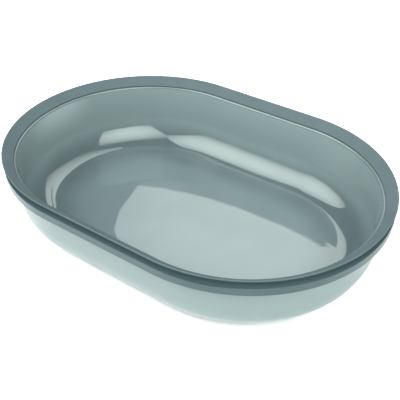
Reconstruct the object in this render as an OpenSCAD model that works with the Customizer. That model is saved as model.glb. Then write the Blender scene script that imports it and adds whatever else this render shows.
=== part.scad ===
// Obround dish: a moulded shell with a soft ring pressed into the flange round its mouth.
// The dish stands on z = 0 with its length along X, and its centre is on the Z axis.
// Every section is drawn with x as the distance from the dish's middle line and y as the
// height, and is carried round two straight sides and two half-round ends.

/* [Dish] */
// Length over the ring
dish_l = 200; // [170:1:300]
// Width over the ring
dish_w = 140; // [110:1:160]
// Height from the foot to the ring's top edge
dish_h = 39.4; // [32:0.1:70]
// Thickness of the floor and the wall
wall_t = 2.2; // [1.4:0.1:3]
// Inside radius of the bend between the floor and the wall
bend_r = 16; // [6:0.5:18]
// Lean of the wall from upright, in degrees
wall_lean = 5; // [1:0.5:9]

/* [Flange] */
// Height of the flange's edge
flange_h = 3.9; // [3:0.1:6]
// Radius of the lip between the wall and the ring
lip_r = 1; // [0.4:0.1:1.4]
// Radius of the hollow where the flange leaves the wall
root_r = 1; // [0.4:0.1:1.4]

/* [Ring] */
// Width of the ring, from its outer side to the mouth
face_w = 5.5; // [5:0.1:8]
// Height of the ring's outer side above the flange
side_h = 4.4; // [3:0.1:6]
// Height of the ring's inner side above the flange
mouth_side_h = 0.5; // [0.3:0.1:2]
// Lean of the ring's outer side from upright, in degrees
side_lean = 6.5; // [0:0.5:8]
// Radius of the ring's top edge
edge_r = 0.4; // [0.2:0.1:0.6]

/* [Fit] */
// Width of the tongue under the ring
tongue_w = 2; // [1.2:0.1:2.4]
// Depth of the tongue
tongue_d = 1.6; // [1:0.1:1.8]
// Gap at each side of the tongue
tongue_gap = 0.05; // [0.02:0.01:0.15]
// Gap below the tongue
tongue_end_gap = 0.1; // [0.05:0.05:0.3]

/* [Foot] */
// Width of the band that the dish stands on
foot_w = 5; // [3:0.5:10]
// Depth of the recess inside that band
recess_d = 0.4; // [0.2:0.1:0.6]
// Diameter of the gate mark in the recess
gate_d = 4; // [2:0.5:8]

/* [Hidden] */
$fn = 128;

straight = dish_l - dish_w;
edge_x = dish_w / 2;
mouth_x = edge_x - face_w;
seat_z = dish_h - side_h;
edge_middle = [edge_x - edge_r, dish_h - edge_r];
across_side = [cos(side_lean), -sin(side_lean)];
// The ring's face slopes up from its inner side until it meets the rounded top edge
face_start = [mouth_x, seat_z + mouth_side_h];
face_chord = edge_middle - face_start;
face_slope = atan2(face_chord.y, face_chord.x) + asin(edge_r / norm(face_chord));
across_face = [-sin(face_slope), cos(face_slope)];
// The flange's edge stands where the ring's leaning outer side comes down to it
flange_x = edge_middle.x + edge_r / cos(side_lean) - (edge_middle.y - seat_z) * tan(side_lean);
flange_z = seat_z - flange_h;
break_r = 0.3;
gate_gap = 0.1;

// Where the inner wall would meet the seat, so that the lip ends at the ring's inner edge
lip_run = lip_r / tan((90 + wall_lean) / 2);
lip_x = mouth_x - lip_run;
bend_z = wall_t + bend_r;
bend_x = lip_x - (seat_z - bend_z) * tan(wall_lean) - bend_r / cos(wall_lean);
up_wall = [sin(wall_lean), cos(wall_lean)];
across_wall = [cos(wall_lean), -sin(wall_lean)];
recess_x = bend_x - foot_w;

tongue_x = mouth_x + (flange_x - mouth_x) / 2;

// Point on the wall at height z, a distance grow outside the inner surface
function wall_x(z, grow) = lip_x - (seat_z - z) * tan(wall_lean) + grow / cos(wall_lean);

// Sliver between the sharp corner at p and its round, for edges that leave p along a and b
module corner(p, a, b, r) {
    half = acos(a * b) / 2;
    run = r / tan(half);
    inward = (a + b) / norm(a + b);
    middle = p + r / sin(half) * inward;
    difference() {
        polygon([p - r * inward, p + run * a, middle, p + run * b]);
        translate(middle)
            circle(r);
    }
}

// Half section of the bowl's inner space, grown outwards and filled up to height top
module bowl_section(grow, top) {
    middle = [bend_x, bend_z];
    r = bend_r + grow;
    polygon([
        [0, bend_z - r],
        [bend_x, bend_z - r],
        middle,
        middle + r * across_wall,
        [wall_x(top, grow), top],
        [0, top]
    ]);
    intersection() {
        translate(middle)
            circle(r);
        translate([bend_x, bend_z - r])
            square(r);
    }
}

// Carries a half section round the two half-round ends and the two straight sides
module around() {
    for (turn = [0, 180])
        rotate([0, 0, turn]) {
            translate([straight / 2, 0, 0])
                rotate([0, 0, -90])
                    rotate_extrude(angle = 180)
                        children();
            translate([-straight / 2, 0, 0])
                rotate([90, 0, 90])
                    linear_extrude(height = straight)
                        children();
        }
}

module shell_section() {
    root = [wall_x(flange_z, wall_t), flange_z];
    difference() {
        union() {
            bowl_section(wall_t, seat_z);
            translate([mouth_x - wall_t, flange_z])
                square([flange_x - mouth_x + wall_t, flange_h]);
            corner(root, -up_wall, [1, 0], root_r);
        }
        bowl_section(0, seat_z);
        corner([lip_x, seat_z], -up_wall, [1, 0], lip_r);
        corner([flange_x, seat_z], [-1, 0], [0, -1], break_r);
        corner([flange_x, flange_z], [-1, 0], [0, 1], break_r);
        translate([tongue_x - tongue_w / 2 - tongue_gap, seat_z - tongue_d - tongue_end_gap])
            square([tongue_w + 2 * tongue_gap, tongue_d + tongue_end_gap]);
    }
}

module ring_section() {
    difference() {
        union() {
            polygon([
                [mouth_x, seat_z],
                [flange_x, seat_z],
                edge_middle + edge_r * across_side,
                edge_middle,
                edge_middle + edge_r * across_face,
                face_start
            ]);
            translate(edge_middle)
                circle(edge_r);
            translate([tongue_x - tongue_w / 2, seat_z - tongue_d])
                square([tongue_w, tongue_d + break_r]);
        }
        corner([flange_x, seat_z], [-1, 0], [-across_side.y, across_side.x], break_r);
    }
}

module dish_shell() {
    color("cadetblue") {
        difference() {
            around()
                shell_section();
            // shallow recess inside the band that the dish stands on
            translate([0, 0, -1])
                around()
                    square([recess_x, recess_d + 1]);
        }
        // gate mark left by moulding, just clear of the table
        translate([0, 0, gate_gap])
            cylinder(d = gate_d, h = recess_d);
    }
}

module rim_ring() {
    color("slategray")
        around()
            ring_section();
}

dish_shell();
rim_ring();
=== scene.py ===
"""Obround dish: a glossy moulded shell in smoky grey-green plastic, with a soft matt ring in its flange."""
import math

import bmesh
import bpy
import numpy as np
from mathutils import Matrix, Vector


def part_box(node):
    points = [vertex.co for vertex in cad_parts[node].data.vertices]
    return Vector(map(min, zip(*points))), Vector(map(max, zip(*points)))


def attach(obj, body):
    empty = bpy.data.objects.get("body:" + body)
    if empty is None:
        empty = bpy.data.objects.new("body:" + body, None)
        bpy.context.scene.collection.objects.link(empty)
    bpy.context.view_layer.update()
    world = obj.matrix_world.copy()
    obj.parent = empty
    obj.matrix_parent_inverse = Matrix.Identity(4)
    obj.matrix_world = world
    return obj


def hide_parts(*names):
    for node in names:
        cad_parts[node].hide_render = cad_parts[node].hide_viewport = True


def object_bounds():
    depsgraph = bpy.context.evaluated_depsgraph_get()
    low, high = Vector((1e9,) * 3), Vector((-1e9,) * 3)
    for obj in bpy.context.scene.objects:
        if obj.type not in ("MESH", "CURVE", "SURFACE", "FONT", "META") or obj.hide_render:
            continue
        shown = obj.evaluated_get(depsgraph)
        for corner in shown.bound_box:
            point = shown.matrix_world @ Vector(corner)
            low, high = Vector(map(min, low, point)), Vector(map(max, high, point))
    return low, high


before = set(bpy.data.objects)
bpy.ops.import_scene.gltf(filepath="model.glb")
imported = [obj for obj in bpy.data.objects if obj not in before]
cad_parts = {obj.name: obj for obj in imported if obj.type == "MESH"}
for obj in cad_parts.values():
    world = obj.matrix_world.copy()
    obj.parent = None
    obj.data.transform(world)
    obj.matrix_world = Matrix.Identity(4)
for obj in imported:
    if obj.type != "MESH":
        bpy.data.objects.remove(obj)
cad_low, cad_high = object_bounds()
scene = bpy.context.scene
scene.view_settings.view_transform = "Standard"

# ---------------------------------------------------------------------------------------------
# Camera
# It looks down into the bowl from the front right, from about two dish widths away, and aims
# at a point level with the ring, a little in front of the middle.
# ---------------------------------------------------------------------------------------------
mm = 0.001


def towards(azimuth, elevation):
    """Unit vector from the dish: azimuth 0 is the front, 90 the right-hand end, in degrees."""
    turn, rise = np.radians(azimuth), np.radians(elevation)
    return np.stack([np.sin(turn) * np.cos(rise), -np.cos(turn) * np.cos(rise), np.sin(rise)], -1)


aim = Vector((23.7 * mm, -26.0 * mm, cad_high.z))
away = Vector(towards(azimuth=35.96, elevation=36.32))
distance = 311.7 * mm
camera = bpy.data.objects.new("camera", bpy.data.cameras.new("camera"))
scene.collection.objects.link(camera)
scene.camera = camera
camera.location = aim + distance * away
camera.rotation_mode = "QUATERNION"
camera.rotation_quaternion = away.to_track_quat("Z", "Y")
camera.data.sensor_width = 36.0
camera.data.lens = 63.44
camera.data.clip_start = 0.01
camera.data.clip_end = 20.0

# ---------------------------------------------------------------------------------------------
# Dish shell
# One injection moulding in smoky grey-green plastic, polished inside and satin outside: a flat
# floor, a wide bend, a leaning wall, a rounded lip and a flange with a groove for the ring.
# It stands on a narrow foot band.
# ---------------------------------------------------------------------------------------------
shell_low, shell_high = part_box("dish_shell")
ring_low, ring_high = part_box("rim_ring")
straight = 2 * (shell_high.x - shell_high.y)
flange_edge = shell_high.y
seat = shell_high.z
ring_edge = ring_high.y
wall = 2.2 * mm
bend = 16.0 * mm
lean = 5.0
flange_depth = 3.9 * mm
lip = 1.0 * mm
root = 1.0 * mm
broken_edge = 0.3 * mm
mouth = ring_edge - 5.5 * mm
tongue_width = 2.0 * mm
tongue_gap = 0.05 * mm
groove_floor = ring_low.z - 0.1 * mm
foot_band = 5.0 * mm
recess = 0.4 * mm
tilt = math.tan(math.radians(lean))
level = math.cos(math.radians(lean))
half_corner = math.tan(math.radians((90 + lean) / 2))
lip_edge = mouth - lip / half_corner
bend_x = lip_edge - (seat - wall - bend) * tilt - bend / level
bend_z = wall + bend


def line(start, end, count):
    """Straight run of points from start towards end, with end itself left out."""
    t = np.arange(count)[:, None] / count
    return np.asarray(start) * (1 - t) + np.asarray(end) * t


def arc(centre, radius, begin, finish, count):
    """Run of points round centre, from angle begin towards finish in degrees, finish left out."""
    t = np.radians(begin + (finish - begin) * np.arange(count) / count)[:, None]
    return np.asarray(centre) + radius * np.hstack([np.cos(t), np.sin(t)])


def carried_round(name, profile, closed, middle_line=straight, turn_steps=96, slide_steps=16):
    """Surface made by carrying a profile round the dish.

    A profile point (r, z) goes to (foot + r cos angle, r sin angle, z) at each station of one
    lap. The foot stays at one end of the dish's middle line while the angle turns through half
    a circle, then slides along the middle line while the angle stays square to it. An open
    profile starts and ends on the middle line, where its two sides are merged into one. With
    no middle line the lap is a plain circle.
    """
    end = middle_line / 2
    turn = np.linspace(-90, 90, turn_steps, endpoint=False)
    slide = np.linspace(end, -end, slide_steps, endpoint=False)
    foot = np.concatenate([np.full(turn_steps, end), slide, np.full(turn_steps, -end), -slide])
    angle = np.radians(np.concatenate([
        turn, np.full(slide_steps, 90.0), turn + 180, np.full(slide_steps, 270.0),
    ]))[:, None]
    r, z = np.asarray(profile).T
    points = np.stack([
        foot[:, None] + r * np.cos(angle), r * np.sin(angle), z + 0 * angle,
    ], axis=-1)
    index = np.arange(points[..., 0].size).reshape(len(foot), len(r))
    onward = np.roll(index, -1, axis=0)
    here = np.arange(len(r) if closed else len(r) - 1)
    there = (here + 1) % len(r)
    quads = np.stack([
        index[:, here], onward[:, here], onward[:, there], index[:, there],
    ], axis=-1).reshape(-1, 4)
    mesh = bpy.data.meshes.new(name)
    mesh.from_pydata(points.reshape(-1, 3), [], quads)
    sheet = bmesh.new()
    sheet.from_mesh(mesh)
    bmesh.ops.remove_doubles(sheet, verts=sheet.verts, dist=1e-7)
    bmesh.ops.recalc_face_normals(sheet, faces=sheet.faces)
    sheet.to_mesh(mesh)
    sheet.free()
    mesh.shade_smooth()
    piece = bpy.data.objects.new(name, mesh)
    scene.collection.objects.link(piece)
    return piece


def shell_profile():
    """Section of the shell, from the middle of the bowl's floor round to the middle of the foot."""
    out = np.array([level, -math.sin(math.radians(lean))])
    middle = np.array([bend_x, bend_z])
    lip_middle = np.array([mouth, seat - lip])
    groove_middle = (mouth + flange_edge) / 2
    groove = tongue_width / 2 + tongue_gap
    under = seat - flange_depth
    root_edge = lip_edge - flange_depth * tilt + wall / level + root / half_corner
    root_middle = np.array([root_edge, under - root])
    edge = flange_edge - broken_edge
    inside = [
        line([0, wall], [bend_x, wall], 24),
        arc(middle, bend, -90, -lean, 40),
        line(middle + bend * out, lip_middle - lip * out, 12),
        arc(lip_middle, lip, 180 - lean, 90, 10),
    ]
    flange = [
        line([mouth, seat], [groove_middle - groove, seat], 2),
        line([groove_middle - groove, seat], [groove_middle - groove, groove_floor], 2),
        line([groove_middle - groove, groove_floor], [groove_middle + groove, groove_floor], 2),
        line([groove_middle + groove, groove_floor], [groove_middle + groove, seat], 2),
        line([groove_middle + groove, seat], [edge, seat], 2),
        arc([edge, seat - broken_edge], broken_edge, 90, 0, 6),
        line([flange_edge, seat - broken_edge], [flange_edge, under + broken_edge], 6),
        arc([edge, under + broken_edge], broken_edge, 0, -90, 6),
        line([edge, under], [root_edge, under], 4),
    ]
    outside = [
        arc(root_middle, root, 90, 180 - lean, 8),
        line(root_middle - root * out, middle + (bend + wall) * out, 12),
        arc(middle, bend + wall, -lean, -90, 40),
        line([bend_x, 0], [bend_x - foot_band, 0], 4),
        line([bend_x - foot_band, 0], [bend_x - foot_band, recess], 2),
        line([bend_x - foot_band, recess], [0, recess], 20),
        [[0, recess]],
    ]
    return np.vstack(inside + flange + outside)


shell = carried_round("shell", shell_profile(), closed=False)


def reach_and_height(piece):
    """Each point's distance from the dish's middle line, seen from above, and its height."""
    place = np.zeros(len(piece.data.vertices) * 3)
    piece.data.vertices.foreach_get("co", place)
    x, y, z = place.reshape(-1, 3).T
    return np.hypot(np.maximum(np.abs(x) - straight / 2, 0), y), z


def mark_points(piece, name, values):
    """Stores one value for each point, for the material to read by its name."""
    mark = piece.data.attributes.new(name, "FLOAT", "POINT")
    mark.data.foreach_set("value", values.astype(np.float32))


def mark_walls(piece):
    """Marks each point with its reach and with its side of the wall, 0 inside and 1 outside.

    A point is outside if its reach is more than the wall's own middle has at that height, if
    it is lower than the middle of the floor, or if it is past the mouth.
    """
    reach, z = reach_and_height(piece)
    wall_middle = lip_edge - (seat - z) * tilt + wall / 2 / level
    from_bend = np.hypot(np.maximum(reach - bend_x, 0), np.minimum(z - bend_z, 0)) - bend
    low = z < bend_z - bend * math.sin(math.radians(lean))
    beyond = np.where(low, from_bend > wall / 2, reach > wall_middle)
    beyond |= reach > mouth + 0.5 * mm
    mark_points(piece, "outside", beyond)
    mark_points(piece, "reach", reach)


mark_walls(shell)


class Socket:
    """One output socket in a shader, so that sums on it are written as Python sums."""

    def __init__(self, finish, link):
        self.finish = finish
        self.link = link

    def sum(self, operation, first, second):
        return self.finish.add("ShaderNodeMath", {"operation": operation}, {0: first, 1: second})

    def __add__(self, other):
        return self.sum("ADD", self, other)

    def __radd__(self, other):
        return self.sum("ADD", other, self)

    def __sub__(self, other):
        return self.sum("SUBTRACT", self, other)

    def __rsub__(self, other):
        return self.sum("SUBTRACT", other, self)

    def __mul__(self, other):
        return self.sum("MULTIPLY", self, other)

    def __rmul__(self, other):
        return self.sum("MULTIPLY", other, self)

    def __abs__(self):
        return self.sum("ABSOLUTE", self, 0.0)


class Finish:
    """A material in the making, with one Principled shader."""

    def __init__(self, name, **constants):
        self.material = bpy.data.materials.new(name)
        self.material.use_nodes = True
        self.tree = self.material.node_tree
        self.shader = self.tree.nodes["Principled BSDF"]
        for socket, value in constants.items():
            self.shader.inputs[socket.replace("_", " ")].default_value = value

    def add(self, kind, settings=(), sockets=(), output=0):
        """Adds a node, makes its settings and then its sockets, and gives one of its outputs."""
        node = self.tree.nodes.new(kind)
        for name, value in dict(settings).items():
            setattr(node, name, value)
        for name, value in dict(sockets).items():
            if isinstance(value, Socket):
                self.tree.links.new(value.link, node.inputs[name])
            else:
                node.inputs[name].default_value = value
        return Socket(self, node.outputs[output])

    def mix(self, factor, first, second):
        """Colour that goes from first to second as factor goes from 0 to 1."""
        colours = {0: factor, 6: first, 7: second}
        for key in (6, 7):
            if not isinstance(colours[key], Socket):
                colours[key] = (*colours[key], 1.0)
        return self.add("ShaderNodeMix", {"data_type": "RGBA"}, colours, output=2)

    def ramp(self, value, start, end):
        """Goes smoothly from 0 to 1 as value goes from start to end."""
        span = {0: value, 1: start, 2: end, 3: 0.0, 4: 1.0}
        return self.add("ShaderNodeMapRange", {"interpolation_type": "SMOOTHSTEP"}, span)

    def noise(self, place, scale, detail):
        sockets = {"Vector": place, "Scale": scale, "Detail": detail, "Roughness": 0.5}
        return self.add("ShaderNodeTexNoise", {}, sockets)

    def bump(self, height, strength, depth):
        sockets = {"Height": height, "Strength": strength, "Distance": depth}
        return self.add("ShaderNodeBump", {}, sockets)

    def feed(self, **sockets):
        for name, value in sockets.items():
            self.tree.links.new(value.link, self.shader.inputs[name.replace("_", " ")])
        return self.material


def smoky_plastic():
    """Opaque stand-in for dyed see-through plastic: glossy inside, satin outside.

    Colour goes by height and by distance from the middle line, the same on both long sides and
    at both ends. Most of it is painted light and shade for light passing through the plastic:
    the outside painted paler than the inside and palest near the table, painted shade on the
    floor towards the bend, the wall painted lighter upwards with a painted pool of light under
    the lip at the ends, a painted dark band on the lip over its highlight, and painted shade
    darkest on the flange. The values were found by trial renders in this scene's own light.
    They weren't measured on a real dish.
    """
    finish = Finish("smoky_plastic", IOR=1.5, Specular_Tint=(0.86, 1.0, 0.93, 1.0))
    place = finish.add("ShaderNodeTexCoord", output="Object")
    along = finish.add("ShaderNodeSeparateXYZ", {}, {0: place}, output=0)
    height = finish.add("ShaderNodeSeparateXYZ", {}, {0: place}, output=2)
    outside = finish.add("ShaderNodeAttribute", {"attribute_name": "outside"}, output="Fac")
    flow = finish.noise(place, 25.0, 3.0)
    reach = finish.add("ShaderNodeAttribute", {"attribute_name": "reach"}, output="Fac")
    # Painted shade: the inner floor is darker towards the bend.
    painted_shade_near_bend = finish.ramp(reach, 31 * mm, 46 * mm)
    inner = finish.mix(painted_shade_near_bend, (0.061, 0.085, 0.090), (0.046, 0.065, 0.069))
    # Painted light: the inner wall gets paler upwards, as if lit through its thin plastic.
    inner = finish.mix(finish.ramp(height, 5 * mm, 18 * mm), inner, (0.121, 0.164, 0.164))
    inner = finish.mix(finish.ramp(height, 18 * mm, seat), inner, (0.148, 0.200, 0.198))
    # Painted light: a pale pool on the inner wall under the lip at both ends.
    painted_light_at_ends = finish.ramp(abs(along), 88 * mm, 96 * mm)
    painted_light_under_lip = finish.ramp(height, 16 * mm, seat - lip)
    inner = finish.mix(painted_light_at_ends * painted_light_under_lip, inner, (0.255, 0.325, 0.320))
    # Painted shade: a dark band along the lip that hides its highlight; the same band is also made rougher.
    lip_painted_shade_and_rough = finish.ramp(height, seat - 1.1 * lip, seat - 0.5 * lip)
    inner = finish.mix(lip_painted_shade_and_rough, inner, (0.070, 0.095, 0.095))
    # Painted light: the outer wall is painted pale near the table, fading upwards.
    painted_table_glow_fade = finish.ramp(height, 1.5 * mm, 11 * mm)
    outer = finish.mix(painted_table_glow_fade, (0.460, 0.540, 0.540), (0.120, 0.164, 0.163))
    # Painted shade: the flange's outer edge is painted darkest, where the thick plastic lets little light
    # through.
    painted_shade_on_flange = finish.ramp(height, seat - flange_depth - 0.4 * mm, seat - flange_depth)
    outer = finish.mix(painted_shade_on_flange, outer, (0.009, 0.032, 0.038))
    # Painted light and shade: inside and outside are lit and shaded copies of one plastic, the outside
    # painted much paler.
    colour = finish.mix(outside, inner, outer)
    colour = finish.mix(finish.ramp(flow, 0.35, 0.65) * 0.03, colour, (0.30, 0.38, 0.38))
    smudge = finish.ramp(finish.noise(place, 60.0, 4.0), 0.3, 0.8)
    gloss = 0.015 + smudge * 0.02 + outside * 0.33 + lip_painted_shade_and_rough * (1 - outside) * 0.2
    grain = finish.noise(place, 2500.0, 2.0)
    sheen = finish.bump(grain * outside, 0.25, 0.00004)
    return finish.feed(Base_Color=colour, Roughness=gloss, Normal=sheen)


shell.data.materials.append(smoky_plastic())
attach(shell, "root")
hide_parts("dish_shell")


def gate_profile():
    """Section of the trimmed gate: a low pip with a rounded edge, under the floor's middle."""
    radius = 2.0 * mm
    edge = 0.15 * mm
    tip = shell_low.z + 0.1 * mm
    return np.vstack([
        line([0, recess + edge], [radius, recess + edge], 4),
        line([radius, recess + edge], [radius, tip + edge], 2),
        arc([radius - edge, tip + edge], edge, 0, -90, 6),
        line([radius - edge, tip], [0, tip], 4),
        [[0, tip]],
    ])


gate = carried_round("gate_mark", gate_profile(), closed=False, middle_line=0.0, turn_steps=24)
mark_walls(gate)
gate.data.materials.append(shell.data.materials[0])
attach(gate, "root")
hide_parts("dish_shell")

# ---------------------------------------------------------------------------------------------
# Rim ring
# A soft matt ring, moulded on its own and pressed down by its tongue into the flange's groove.
# Its top face slopes in towards the mouth, and its outer side stands flush with the flange.
# ---------------------------------------------------------------------------------------------
mouth_side = 0.5 * mm
side_lean = 6.5
edge_round = 0.4 * mm


def ring_profile():
    """Section of the ring: sloped face, rounded top edge, outer side, underside and tongue."""
    top = np.array([ring_edge - edge_round, ring_high.z - edge_round])
    face_start = np.array([mouth, seat + mouth_side])
    chord = top - face_start
    slope = math.atan2(chord[1], chord[0]) + math.asin(edge_round / np.linalg.norm(chord))
    face_end = top + edge_round * np.array([-math.sin(slope), math.cos(slope)])
    side = math.radians(side_lean)
    side_start = top + edge_round * np.array([math.cos(side), -math.sin(side)])
    inner = (mouth + flange_edge - tongue_width) / 2
    outer = inner + tongue_width
    corner = flange_edge - broken_edge
    side_end = [flange_edge + broken_edge * math.tan(side), seat + broken_edge]
    return np.vstack([
        line([mouth, seat], face_start, 3),
        line(face_start, face_end, 10),
        arc(top, edge_round, 90 + math.degrees(slope), -side_lean, 12),
        line(side_start, side_end, 8),
        arc([corner, seat + broken_edge], broken_edge, 0, -90, 6),
        line([corner, seat], [outer, seat], 2),
        line([outer, seat], [outer, ring_low.z], 2),
        line([outer, ring_low.z], [inner, ring_low.z], 2),
        line([inner, ring_low.z], [inner, seat], 2),
        line([inner, seat], [mouth, seat], 2),
    ])


ring = carried_round("ring", ring_profile(), closed=True)


def matt_rubber():
    """Soft rubber with a fine grain: evenly grey on its face, with painted shade on its outer side."""
    finish = Finish("matt_rubber", Specular_IOR_Level=0.0, Coat_Roughness=0.5, Coat_IOR=1.45)
    place = finish.add("ShaderNodeTexCoord", output="Object")
    height = finish.add("ShaderNodeSeparateXYZ", {}, {0: place}, output=2)
    side = finish.add("ShaderNodeAttribute", {"attribute_name": "side"}, output="Fac")
    cloud = finish.noise(place, 90.0, 4.0)
    face = finish.mix(finish.ramp(cloud, 0.3, 0.7), (0.054, 0.076, 0.080), (0.058, 0.082, 0.087))
    # Painted shade: the outer side is painted dark, darker towards its top edge.
    upwards = finish.ramp(height, seat, ring_high.z)
    outer = finish.mix(upwards, (0.034, 0.054, 0.058), (0.016, 0.028, 0.031))
    colour = finish.mix(side, face, outer)
    grain = finish.noise(place, 4000.0, 2.0)
    bump = finish.bump(grain, 0.3, 0.00005)
    skin = 0.06 - side * 0.06
    return finish.feed(
        Base_Color=colour, Normal=bump, Roughness=0.55 + cloud * 0.1, Coat_Weight=skin,
    )


def mark_side(piece):
    """Marks each point by how far it lies under the sloped face: 0 on it, 1 well below it."""
    reach, z = reach_and_height(piece)
    slope = (ring_high.z - seat - mouth_side) / (ring_edge - mouth)
    under = seat + mouth_side + (reach - mouth) * slope - z
    mark_points(piece, "side", np.clip((under - 0.1 * mm) / (0.5 * mm), 0, 1))


mark_side(ring)
ring.data.materials.append(matt_rubber())
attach(ring, "root")
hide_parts("rim_ring")

# ---------------------------------------------------------------------------------------------
# Table
# A plain white table top, 1.6 m square. From low angles its far edge can be seen.
# ---------------------------------------------------------------------------------------------
half = 800 * mm
table_mesh = bpy.data.meshes.new("table")
corners = [(-half, -half, 0), (half, -half, 0), (half, half, 0), (-half, half, 0)]
table_mesh.from_pydata(corners, [], [(0, 1, 2, 3)])
table = bpy.data.objects.new("table", table_mesh)
scene.collection.objects.link(table)
table.data.materials.append(Finish(
    "white_table", Base_Color=(0.82, 0.83, 0.83, 1.0), Roughness=0.7,
).material)

# ---------------------------------------------------------------------------------------------
# Studio light
# Three flat softboxes stand round the table and lean over it, at the back, the front left and
# the right. Each is brightest where its lamp sits and dims away from it. Their places, sizes and
# brightness suit the main camera: the back one's slants and bar shape its reflection for that
# angle. The room adds a faint cool light, and the camera sees plain white past the table.
# ---------------------------------------------------------------------------------------------


def softbox(name, azimuth, elevation, across, upwards, lamp, peak, dim, framed=False):
    """Flat panel, one metre from the dish and square to the line towards it.

    Across and upwards give its edges in metres from that line. Its glow is the peak at the lamp,
    and falls by the share dim times the square of the distance from the lamp. A framed panel has
    one side edge slanted in above and below its middle, and a thin bar across part of it, bowed
    as a parabola, that lets a fifth of the glow past.
    """
    upper_slant = 0.8
    lower_slant = 0.4
    lower_start = -0.04
    bar_start = 0.06
    bar_middle = 0.34
    bar_bow = 0.5
    bar_lowest = -0.11
    bar_height = 0.022
    bar_passes = 0.2
    middle = towards(azimuth, elevation)
    side = towards(azimuth + 90, 0)
    rise = np.cross(side, middle)
    rise *= np.sign(rise[2])
    share, v = np.meshgrid(np.linspace(0, 1, 60), np.linspace(*upwards, 400))
    slant = upper_slant * np.maximum(v, 0) + lower_slant * np.maximum(lower_start - v, 0)
    u = across[0] + share * (across[1] - across[0] - framed * slant)
    points = middle + u[..., None] * side + v[..., None] * rise
    glow = peak * np.clip(1 - dim * ((u - lamp[0]) ** 2 + (v - lamp[1]) ** 2), 0, 1)
    if framed:
        under_bar = bar_lowest + bar_bow * (u - bar_middle) ** 2 - v
        glow[(u > bar_start) & (under_bar > 0) & (under_bar < bar_height)] *= bar_passes
    index = np.arange(u.size).reshape(u.shape)
    quads = np.stack([
        index[:-1, :-1], index[:-1, 1:], index[1:, 1:], index[1:, :-1],
    ], axis=-1).reshape(-1, 4)
    mesh = bpy.data.meshes.new(name)
    mesh.from_pydata(points.reshape(-1, 3), [], quads)
    mark = mesh.attributes.new("glow", "FLOAT", "POINT")
    mark.data.foreach_set("value", glow.ravel().astype(np.float32))
    panel = bpy.data.objects.new(name, mesh)
    scene.collection.objects.link(panel)
    panel.visible_camera = False
    lit = Finish(name, Base_Color=(0, 0, 0, 1), Specular_IOR_Level=0.0)
    strength = lit.add("ShaderNodeAttribute", {"attribute_name": "glow"}, output="Fac")
    lit.shader.inputs["Emission Color"].default_value = (1.0, 1.0, 1.0, 1.0)
    panel.data.materials.append(lit.feed(Emission_Strength=strength))


softbox("back_softbox", -167, 44, (-0.38, 0.494), (-0.26, 0.52), (0.12, 0.1), 5.25, 2.4, framed=True)
softbox("front_softbox", -55, 48, (-0.48, 0.52), (-0.46, 0.52), (0.0, 0.1), 10.5, 1.9)
softbox("right_softbox", 58, 50, (-0.47, 0.47), (-0.5, 0.7), (0.0, 0.0), 10.0, 1.6)

world = bpy.data.worlds.new("studio")
world.use_nodes = True
scene.world = world
tree = world.node_tree
room = tree.nodes["Background"]
room.inputs["Color"].default_value = (0.9, 0.95, 1.0, 1.0)
room.inputs["Strength"].default_value = 0.25
backdrop = tree.nodes.new("ShaderNodeBackground")
backdrop.inputs["Color"].default_value = (1.0, 1.0, 1.0, 1.0)
ray = tree.nodes.new("ShaderNodeLightPath")
choose = tree.nodes.new("ShaderNodeMixShader")
tree.links.new(ray.outputs["Is Camera Ray"], choose.inputs[0])
tree.links.new(room.outputs[0], choose.inputs[1])
tree.links.new(backdrop.outputs[0], choose.inputs[2])
tree.links.new(choose.outputs[0], tree.nodes["World Output"].inputs["Surface"])
